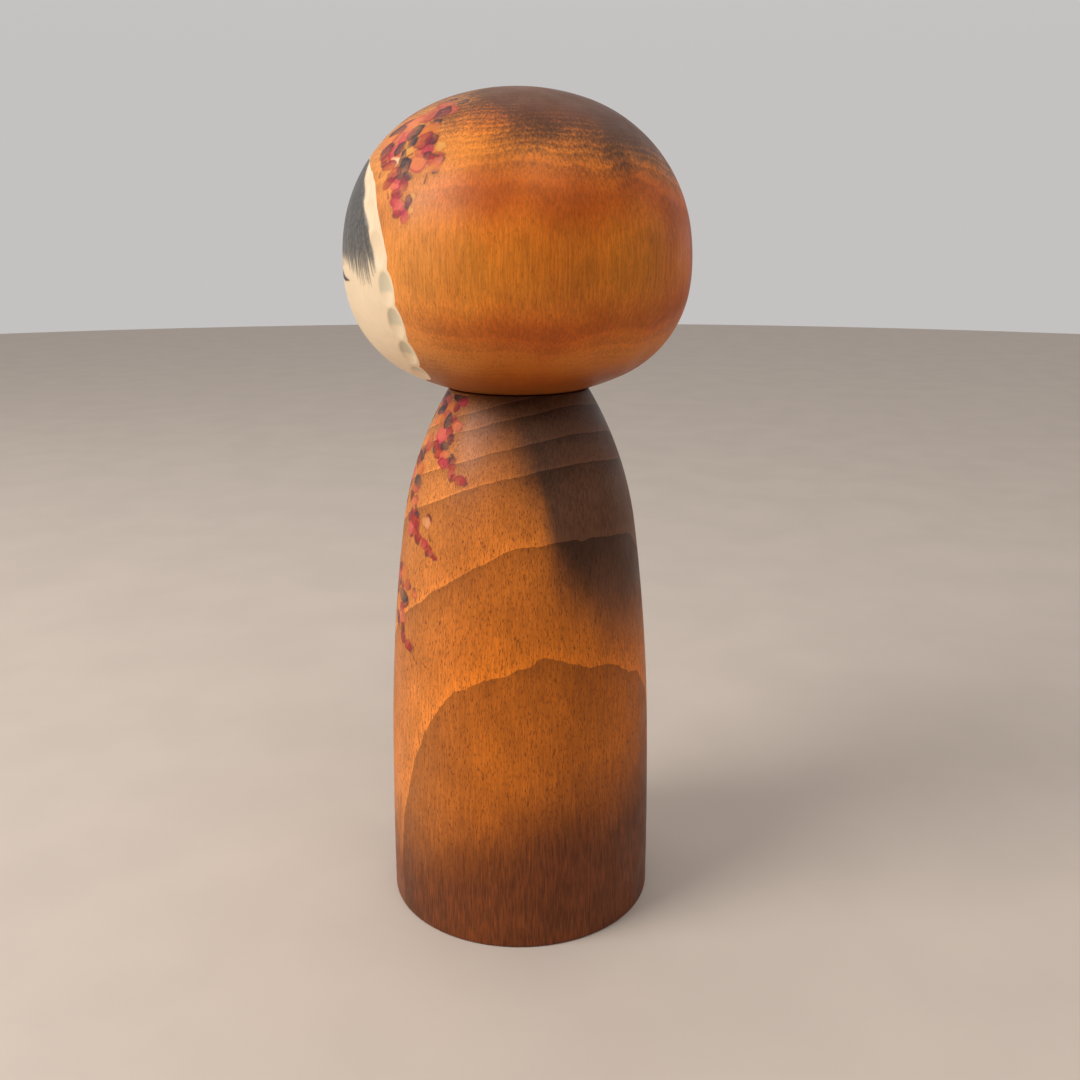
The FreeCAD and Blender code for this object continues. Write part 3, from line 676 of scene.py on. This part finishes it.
def paint_features(canvas):
    """Eyes, nose and mouth. The photograph shows only the outer corner of the left eye."""
    for side in (1, -1):
        eye = [(9.5, 232.2), (13, 234.6), (18, 235.6), (23, 235.0), (28, 233.8), (34, 233.4)]
        canvas.stroke([(side * a, z) for a, z in eye], [0.4, 1.7, 2.5, 2.6, 1.7, 0.25], "ink", strength=0.95)
    canvas.stroke([(-1.7, 223.6), (-0.8, 223.0), (0.8, 223.0), (1.7, 223.6)],
                  [0.3, 0.6, 0.6, 0.3], "ink", strength=0.6)
    canvas.stroke([(-3.6, 216.6), (-1.4, 217.2), (0, 216.7), (1.4, 217.2), (3.6, 216.6)],
                  [0.3, 1.5, 1.2, 1.5, 0.3], "lips", strength=0.9)
    canvas.stroke([(-2.4, 215.7), (0, 215.2), (2.4, 215.7)], [0.3, 1.5, 0.3], "lips", strength=0.8)


# ---------------------------------------------------------------- materials


class Graph:
    """A node material written as expressions. A value is a socket or a constant."""

    def __init__(self, name):
        self.material = bpy.data.materials.new(name)
        self.material.use_nodes = True
        self.nodes, self.links = self.material.node_tree.nodes, self.material.node_tree.links
        self.shader = self.nodes["Principled BSDF"]

    def put(self, socket, value):
        if isinstance(value, bpy.types.NodeSocket):
            self.links.new(value, socket)
        else:
            socket.default_value = value

    def calc(self, operation, *values, clamp=False):
        node = self.nodes.new("ShaderNodeMath")
        node.operation = operation
        node.use_clamp = clamp
        for socket, value in zip(node.inputs, values):
            self.put(socket, value)
        return node.outputs[0]

    def mix(self, first, second, share, way="MIX"):
        node = self.nodes.new("ShaderNodeMix")
        node.data_type = "RGBA"
        node.blend_type = way
        self.put(node.inputs[0], share)
        for socket, value in ((node.inputs[6], first), (node.inputs[7], second)):
            self.put(socket, (*value, 1.0) if isinstance(value, tuple) else value)
        return node.outputs[2]

    def attribute(self, name, colour=False):
        node = self.nodes.new("ShaderNodeAttribute")
        node.attribute_name = name
        return node.outputs["Color" if colour else "Fac"]

    def place(self):
        """The point on the wood in millimetres, and its three parts."""
        texture = self.nodes.new("ShaderNodeTexCoord")
        scaled = self.stretch(texture.outputs["Object"], (1 / MM,) * 3)
        parts = self.nodes.new("ShaderNodeSeparateXYZ")
        self.put(parts.inputs[0], scaled)
        return scaled, parts.outputs[0], parts.outputs[1], parts.outputs[2]

    def stretch(self, vector, scale):
        node = self.nodes.new("ShaderNodeVectorMath")
        node.operation = "MULTIPLY"
        self.put(node.inputs[0], vector)
        node.inputs[1].default_value = scale
        return node.outputs[0]

    def noise(self, vector, size, stretch=(1, 1, 1), detail=2.0, rough=0.5):
        """Noise with features about this size in millimetres, longer where the stretch is larger."""
        node = self.nodes.new("ShaderNodeTexNoise")
        self.put(node.inputs["Vector"], self.stretch(vector, tuple(1 / (size * s) for s in stretch)))
        node.inputs["Scale"].default_value = 1.0
        node.inputs["Detail"].default_value = detail
        node.inputs["Roughness"].default_value = rough
        return node.outputs[0]

    def swing(self, vector, size, amount, stretch=(1, 1, 1), detail=2.0):
        """Noise as a value from about -amount to +amount."""
        centred = self.calc("SUBTRACT", self.noise(vector, size, stretch, detail), 0.5)
        return self.calc("MULTIPLY", centred, 3 * amount)

    def curve(self, value, points):
        """A value read off straight lines through (value, result) points in rising order."""
        x_low, y_low = (min(p[i] for p in points) for i in (0, 1))
        x_high, y_high = (max(p[i] for p in points) for i in (0, 1))
        node = self.nodes.new("ShaderNodeFloatCurve")
        line = node.mapping.curves[0]
        while len(line.points) < len(points):
            line.points.new(0.5, 0.5)
        for point, (x, y) in zip(line.points, points):
            point.location = ((x - x_low) / (x_high - x_low), (y - y_low) / (y_high - y_low))
            point.handle_type = "VECTOR"
        node.mapping.update()
        share = self.calc("DIVIDE", self.calc("SUBTRACT", value, x_low), x_high - x_low, clamp=True)
        self.put(node.inputs["Value"], share)
        return self.calc("ADD", self.calc("MULTIPLY", node.outputs[0], y_high - y_low), y_low)

    def ease(self, value, low, high, start=0.0, end=1.0):
        """A soft step from start to end as the value goes from low to high."""
        node = self.nodes.new("ShaderNodeMapRange")
        node.interpolation_type = "SMOOTHSTEP"
        for socket, number in zip(node.inputs, (value, low, high, start, end)):
            self.put(socket, number)
        return node.outputs[0]

    def grey(self, value):
        node = self.nodes.new("ShaderNodeCombineColor")
        for socket in node.inputs:
            self.put(socket, value)
        return node.outputs[0]


# Growth rings of each block, as distances in millimetres from a pith that is off the lathe's axis.
BODY_PITH = (-3.8, -2.0)
BODY_RINGS = [3.0, 8.0, 12.5, 17.5, 21.5, 25.8, 29.6, 32.5, 36.9, 40.4, 46.35, 50.78, 57.0]
# How far the pith moves in x and y for each millimetre above LEAN_FROM.
LEAN, LEAN_FROM = (0.010, -0.030), 110.0
HEAD_PITH = (-6.2, 2.0)
HEAD_RINGS = [
    2.2, 4.0, 6.4, 8.1, 10.5, 12.2, 14.8, 16.4, 18.3, 20.9, 22.4, 24.8, 26.1, 28.3, 30.9, 32.3, 34.0, 36.4,
    37.8, 40.1, 41.5, 43.0, 45.2, 46.6, 48.1, 50.3, 51.6, 53.8, 55.3, 57.5, 60.4, 64.5, 70.0,
]


def stained_wood(graph, pith, rings, ring_tone, wander=0.45):
    """Turned wood by place: the point and its parts, the distance from the pith, tone and pores."""
    point, x, y, z = graph.place()
    risen = graph.calc("MAXIMUM", graph.calc("SUBTRACT", z, LEAN_FROM), 0.0)
    across = graph.calc("SUBTRACT", x, graph.calc("MULTIPLY_ADD", risen, LEAN[0], pith[0]))
    along = graph.calc("SUBTRACT", y, graph.calc("MULTIPLY_ADD", risen, LEAN[1], pith[1]))
    across = graph.calc("ADD", across, graph.swing(point, 26, wander, (1, 1, 2.2)))
    along = graph.calc("ADD", along, graph.swing(point, 21, wander, (1, 1, 2.6)))
    squares = graph.calc("ADD", graph.calc("POWER", across, 2.0), graph.calc("POWER", along, 2.0))
    span = graph.calc("SQRT", squares)
    span = graph.calc("ADD", span, graph.swing(point, 2.4, 0.055, (1, 1, 1.2), 3.0))
    numbered = [(0.0, 0.0)] + [(radius, index + 1.0) for index, radius in enumerate(rings)]
    phase = graph.calc("FRACT", graph.curve(span, numbered))
    ring = graph.curve(phase, ring_tone)
    fine = graph.noise(point, 0.7, (1, 1, 14), 3.0, 0.65)
    streak = graph.ease(fine, 0.3, 0.7, 0.82, 1.14)
    pores = graph.noise(point, 0.36, (1, 1, 5), 1.0)
    pore = graph.ease(pores, 0.55, 0.70)
    cloud = graph.ease(graph.noise(point, 17, (1, 1, 1.6), 3.0), 0.3, 0.7, 0.86, 1.12)
    tone = graph.calc("MULTIPLY", graph.calc("MULTIPLY", ring, streak), cloud)
    return point, x, y, z, span, tone, pore


def azimuth_of(graph, x, y):
    """Degrees from the doll's front, the same on both sides."""
    turned = graph.calc("ARCTAN2", x, graph.calc("MULTIPLY", y, -1.0))
    return graph.calc("MULTIPLY", graph.calc("ABSOLUTE", turned), math.degrees(1))


STAIN = srgb(224, 120, 26)
# Dark brown of the sprayed foot band, also used for the painted shade under the head.
DARK_STAIN_AND_SHADE = srgb(104, 50, 20)
TAN = srgb(196, 122, 62)
RED_STAIN = srgb(206, 98, 18)
GOLD_STAIN = srgb(232, 140, 40)
# Painted sheen: the pale colour that the stain is mixed towards on the side facing the key lamp.
LIT_SIDE_SHEEN = srgb(226, 148, 80)
SOOT = srgb(64, 45, 35)
CREAM = srgb(240, 214, 178)
# The grey-green of the painted shade in the lower gouge cuts.
CUT_SHADE_TINT = srgb(196, 190, 164)
BODY_PORES = srgb(98, 38, 10)
HEAD_PORES = srgb(128, 54, 12)
PEG_WOOD = srgb(216, 186, 140)
PEG_PORES = srgb(150, 112, 70)
FLOOR_COLOUR = srgb(203, 189, 176)
WORLD_COLOUR = srgb(246, 243, 242)

# Tone across one growth ring, from its inner line to its outer one.
BODY_TONE = [(0.0, 0.58), (0.08, 0.68), (0.4, 0.86), (0.9, 1.0), (0.965, 1.14), (1.0, 1.16)]
HEAD_TONE = [(0.0, 0.93), (0.15, 0.90), (0.6, 1.0), (0.85, 1.06), (1.0, 0.93)]
# The head's share of gold in its stain by distance from the pith.
GOLD_BANDS = [
    (0, 0.5), (20, 0.3), (34, 0.6), (42, 0.2), (47, 0.3), (51, 0.6), (55.5, 0.7), (58.5, 0.35), (60.5, 0.1),
    (62.0, 0.12), (65.2, 0.8), (70, 0.9),
]
DARKEST_TONE, LIGHTEST_TONE = 0.5, 1.2


def by_tone(graph, tone, low, high):
    """A factor that goes from low to high as the wood's tone lightens."""
    return graph.ease(tone, DARKEST_TONE, LIGHTEST_TONE, low, high)


def body_colour(graph):
    point, x, y, z, _, tone, pore = stained_wood(graph, BODY_PITH, BODY_RINGS, BODY_TONE)
    azimuth = graph.calc("ADD", azimuth_of(graph, x, y), graph.swing(point, 16, 3.0))
    upper = graph.ease(z, 95.0, 185.0, 0.0, 0.55)
    # Painted sheen: the stain pales towards the key lamp's side, most at azimuth 40 and not at all past 90.
    stain = graph.mix(graph.mix(STAIN, TAN, upper), LIT_SIDE_SHEEN, graph.ease(azimuth, 40.0, 90.0, 0.45, 0.0))
    colour = graph.mix(stain, graph.grey(tone), 1.0, "MULTIPLY")
    colour = graph.mix(colour, BODY_PORES, graph.calc("MULTIPLY", pore, 0.7))
    grain = graph.swing(point, 1.1, 6.0, (1, 1, 9), 3.0)
    height = graph.calc("ADD", z, graph.calc("ADD", grain, graph.swing(point, 30, 4)))
    foot = graph.curve(azimuth, [
        (0, 36), (40, 37), (55, 39), (70, 42), (90, 49), (110, 57), (150, 61), (180, 61),
    ])
    rise = graph.calc("SUBTRACT", height, foot)
    low = graph.calc("MULTIPLY", graph.ease(rise, -26.0, 17.0, 1.0, 0.0), 0.93)
    fibre = graph.ease(graph.noise(point, 0.55, (1, 1, 12), 2.0), 0.3, 0.7, 0.62, 1.45)
    shade = graph.grey(graph.calc("MULTIPLY", fibre, by_tone(graph, tone, 0.7, 1.3)))
    dark = graph.mix(DARK_STAIN_AND_SHADE, shade, 1.0, "MULTIPLY")
    colour = graph.mix(colour, dark, low)
    top = graph.curve(azimuth, [
        (0, 184), (60, 182), (80, 177), (98, 174), (111, 158), (119, 134), (128, 124), (142, 114), (180, 110),
    ])
    above = graph.calc("SUBTRACT", graph.calc("ADD", z, graph.swing(point, 30, 4)), top)
    high = graph.ease(above, -16.0, 22.0)
    depth = graph.curve(azimuth, [
        (0, 0.35), (60, 0.5), (80, 0.78), (100, 0.9), (120, 0.92), (150, 0.86), (180, 0.84),
    ])
    soot = graph.mix(SOOT, graph.grey(by_tone(graph, tone, 0.4, 1.8)), 1.0, "MULTIPLY")
    return graph.mix(colour, soot, graph.calc("MULTIPLY", high, depth)), point, pore


def head_colour(graph):
    point, x, y, z, span, tone, pore = stained_wood(graph, HEAD_PITH, HEAD_RINGS, HEAD_TONE, wander=1.9)
    azimuth = graph.calc("ADD", azimuth_of(graph, x, y), graph.swing(point, 16, 3.0))
    ragged = graph.calc("ADD", span, graph.swing(point, 1.6, 0.5, (1, 1, 5), 3.0))
    golden = graph.curve(ragged, GOLD_BANDS)
    swirl = graph.swing(point, 26, 0.28, (1, 1, 1.3), 4.0)
    # Painted light: the side that faces the key lamp is made more golden.
    lit_side_gold = graph.ease(azimuth, 58.0, 95.0, 0.42, -0.08)
    golden = graph.calc("ADD", graph.calc("ADD", golden, swirl), lit_side_gold, clamp=True)
    # Painted sheen: the side that faces the key lamp is mixed towards a pale colour.
    sheen_share = graph.ease(azimuth, 52.0, 96.0, 0.62, 0.0)
    stain = graph.mix(graph.mix(RED_STAIN, GOLD_STAIN, golden), LIT_SIDE_SHEEN, sheen_share)
    colour = graph.mix(stain, graph.grey(tone), 1.0, "MULTIPLY")
    colour = graph.mix(colour, HEAD_PORES, graph.calc("MULTIPLY", pore, 0.32))
    streaks = graph.calc("MULTIPLY", graph.calc("SUBTRACT", tone, 0.95), 22.0)
    height = graph.calc("ADD", z, graph.calc("SUBTRACT", graph.swing(point, 30, 3), streaks))
    edge = graph.curve(azimuth, [
        (0, 289), (60, 286), (72, 281.5), (85, 277.5), (100, 274), (130, 268), (180, 267),
    ])
    high = graph.calc("MULTIPLY", graph.ease(graph.calc("SUBTRACT", height, edge), -9.0, 10.0), 0.86)
    soot = graph.mix(SOOT, graph.grey(by_tone(graph, tone, 0.5, 1.5)), 1.0, "MULTIPLY")
    colour = graph.mix(colour, soot, high)
    # Painted shade: the head darkens towards its underside by the neck, where it overhangs the body.
    low = graph.calc("MULTIPLY", graph.ease(height, 199.0, 213.0, 1.0, 0.0), 0.7)
    colour = graph.mix(colour, DARK_STAIN_AND_SHADE, low)
    bare = graph.ease(graph.attribute("panel_mm"), -0.12, 0.12)
    cream = graph.mix(CREAM, graph.grey(by_tone(graph, tone, 0.93, 1.04)), 1.0, "MULTIPLY")
    # Painted shade: grey-green in the upper, downward-facing part of the lower gouge cuts.
    cream = graph.mix(cream, CUT_SHADE_TINT, graph.calc("MULTIPLY", graph.attribute("shade_in_cut"), 0.6))
    return graph.mix(colour, cream, bare), point, pore


def finish_wood(graph, colour, point, pore, gloss=0.46, coat=0.06):
    """Satin lacquer over the colour, with sunken pores and a faint unevenness from the brush."""
    graph.put(graph.shader.inputs["Base Color"], colour)
    patchy = graph.noise(point, 9.0, (1, 1, 1), 3.0)
    graph.put(graph.shader.inputs["Roughness"], graph.ease(patchy, 0.3, 0.7, gloss - 0.04, gloss + 0.08))
    graph.shader.inputs["Specular IOR Level"].default_value = 0.24
    graph.shader.inputs["Coat Weight"].default_value = coat
    graph.shader.inputs["Coat Roughness"].default_value = 0.26
    bump = graph.nodes.new("ShaderNodeBump")
    bump.inputs["Strength"].default_value = 0.35
    bump.inputs["Distance"].default_value = 0.05 * MM
    sunk = graph.calc("ADD", graph.calc("MULTIPLY", pore, -0.8), graph.noise(point, 2.4, (1, 1, 5), 2.0))
    graph.put(bump.inputs["Height"], sunk)
    graph.put(graph.shader.inputs["Normal"], bump.outputs[0])
    return graph.material


def wood_material(name, colour_of):
    graph = Graph(name)
    return finish_wood(graph, *colour_of(graph))


def paint_material(name, colour_of, uneven=0.14):
    """Paint that soaks unevenly into the same wood that it lies on."""
    graph = Graph(name)
    colour, point, pore = colour_of(graph)
    soaked = graph.ease(graph.noise(point, 1.1, (1, 1, 1.5), 3.0, 0.6), 0.25, 0.75, 1.02 - uneven, 1.06)
    cover = graph.calc("MULTIPLY", graph.attribute("cover"), soaked, clamp=True)
    colour = graph.mix(colour, graph.attribute("paint", colour=True), cover)
    return finish_wood(graph, colour, point, pore)


def peg_material():
    graph = Graph("bare_peg_wood")
    point, _, _, _, _, tone, pore = stained_wood(graph, BODY_PITH, BODY_RINGS, BODY_TONE)
    colour = graph.mix(PEG_WOOD, graph.grey(by_tone(graph, tone, 0.85, 1.05)), 1.0, "MULTIPLY")
    colour = graph.mix(colour, PEG_PORES, graph.calc("MULTIPLY", pore, 0.5))
    return finish_wood(graph, colour, point, pore, gloss=0.6, coat=0.0)


def floor_material():
    graph = Graph("pale_floor")
    point, _, _, _ = graph.place()
    mottle = graph.ease(graph.noise(point, 60.0, (1, 1, 1), 3.0), 0.3, 0.7, 0.97, 1.02)
    colour = graph.mix(FLOOR_COLOUR, graph.grey(mottle), 1.0, "MULTIPLY")
    graph.put(graph.shader.inputs["Base Color"], colour)
    graph.shader.inputs["Roughness"].default_value = 0.7
    return graph.material


# ---------------------------------------------------------------- the doll


make_body(wood_material("lacquered_body_wood", body_colour))
make_head(wood_material("lacquered_head_wood", head_colour))
for material_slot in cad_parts["neck_peg"].material_slots:
    material_slot.material = peg_material()

HEAD_EXTRA = [
    ("panel_mm", lambda c: panel_distance(c.azimuth, c.run, c.outline.place(c.azimuth, c.run)[0])),
    # The painted shade of the gouge cuts, carried onto the paint films as well.
    ("shade_in_cut", lambda c: painted_scoop_shade(c.outline.place(c.azimuth, c.run)[0])),
]
head_paint = paint_material("head_paint", head_colour)
body_paint = paint_material("body_paint", body_colour)
hair_paint = paint_material("hair_paint", head_colour, uneven=0.1)

rng = random.Random(7)
blossoms = Canvas(HEAD, (-76, 78), (246, 290.5), 0.32)
paint_blossoms(blossoms, rng, HEAD_SPRAY, HEAD_TICKS, HEAD_GUESSES)
blossoms.piece("head_blossoms", head_paint, "head", "head_wood", lift=0.04, extra=HEAD_EXTRA)

fringe = Canvas(HEAD, (-54, 54), (230, 277), 0.32)
paint_fringe(fringe, rng)
fringe.piece("fringe", hair_paint, "head", "head_wood", lift=0.03, extra=HEAD_EXTRA)

features = Canvas(HEAD, (-36, 36), (212, 238.5), 0.2)
paint_features(features)
features.piece("face_lines", hair_paint, "head", "head_wood", lift=0.05, extra=HEAD_EXTRA)

sprays = Canvas(BODY, (-60, 74), (96, 194.9), 0.3)
paint_blossoms(sprays, rng, BODY_SPRAYS, BODY_TICKS, BODY_GUESSES)
sprays.piece("body_sprays", body_paint, "body", "body_wood", lift=0.04)


# ---------------------------------------------------------------- stage, light and camera


MIDDLE = Vector((0, 0, 0.14))
WORLD_DIM, WORLD_BRIGHT, WORLD_OVERHEAD = 0.12, 0.60, 0.30
CAMERA_PLACE = (0.38256, 0.07518, 0.2461)
CAMERA_DIP = 15.388
SENSOR_WIDTH, LENS = 36.0, 36.333


def polar(azimuth, elevation, distance):
    """A place in metres seen from the doll's middle at that azimuth and elevation."""
    around, up = math.radians(azimuth), math.radians(elevation)
    east, north = math.sin(around) * math.cos(up), -math.cos(around) * math.cos(up)
    return MIDDLE + distance * Vector((east, north, math.sin(up)))


def add_light(name, azimuth, elevation, distance, size, watts, colour):
    lamp = bpy.data.lights.new(name, "AREA")
    lamp.shape = "DISK"
    lamp.size = size
    lamp.energy = watts
    lamp.color = colour
    light = bpy.data.objects.new(name, lamp)
    bpy.context.scene.collection.objects.link(light)
    light.location = polar(azimuth, elevation, distance)
    light.rotation_euler = (MIDDLE - light.location).to_track_quat("-Z", "Y").to_euler()


def add_floor(radius=3.0, sides=96):
    mesh = bpy.data.meshes.new("floor")
    turns = [math.tau * side / sides for side in range(sides)]
    rim = [(radius * math.cos(turn), radius * math.sin(turn), 0.0) for turn in turns]
    mesh.from_pydata(rim, [], [list(range(sides))])
    mesh.materials.append(floor_material())
    floor = bpy.data.objects.new("floor", mesh)
    bpy.context.scene.collection.objects.link(floor)


def add_world():
    """Pale surroundings, brighter behind the doll as seen by the camera than beside it."""
    world = bpy.data.worlds.new("studio")
    bpy.context.scene.world = world
    world.use_nodes = True
    nodes, links = world.node_tree.nodes, world.node_tree.links
    background = nodes["Background"]
    texture = nodes.new("ShaderNodeTexCoord")
    away = nodes.new("ShaderNodeVectorMath")
    away.operation = "DOT_PRODUCT"
    links.new(texture.outputs["Generated"], away.inputs[0])
    around = math.radians(CAMERA_AZIMUTH + 180)
    away.inputs[1].default_value = (math.sin(around), -math.cos(around), 0.0)
    spread = nodes.new("ShaderNodeMapRange")
    spread.interpolation_type = "SMOOTHSTEP"
    for socket, number in zip(spread.inputs, (0.0, -0.7, 0.9, WORLD_DIM, WORLD_BRIGHT)):
        socket.default_value = number
    links.new(away.outputs["Value"], spread.inputs[0])
    parts = nodes.new("ShaderNodeSeparateXYZ")
    links.new(texture.outputs["Generated"], parts.inputs[0])
    overhead = nodes.new("ShaderNodeMapRange")
    overhead.interpolation_type = "SMOOTHSTEP"
    for socket, number in zip(overhead.inputs, (0.0, 0.1, 1.0, 0.0, WORLD_OVERHEAD)):
        socket.default_value = number
    links.new(parts.outputs[2], overhead.inputs[0])
    total = nodes.new("ShaderNodeMath")
    links.new(spread.outputs[0], total.inputs[0])
    links.new(overhead.outputs[0], total.inputs[1])
    links.new(total.outputs[0], background.inputs["Strength"])
    background.inputs["Color"].default_value = (*WORLD_COLOUR, 1.0)


add_floor()
add_world()
add_light("key", 36, 38, 1.5, 0.9, 18, (1.0, 0.985, 0.96))
add_light("fill", 125, 60, 1.6, 0.8, 3.5, (1.0, 0.98, 0.96))

camera = bpy.data.objects.new("camera", bpy.data.cameras.new("camera"))
bpy.context.scene.collection.objects.link(camera)
bpy.context.scene.camera = camera
camera.location = CAMERA_PLACE
camera.rotation_euler = (math.radians(90 - CAMERA_DIP), 0.0, math.radians(CAMERA_AZIMUTH))
camera.data.sensor_width = SENSOR_WIDTH
camera.data.lens = LENS
camera.data.dof.use_dof = False
bpy.context.scene.view_settings.view_transform = "Standard"
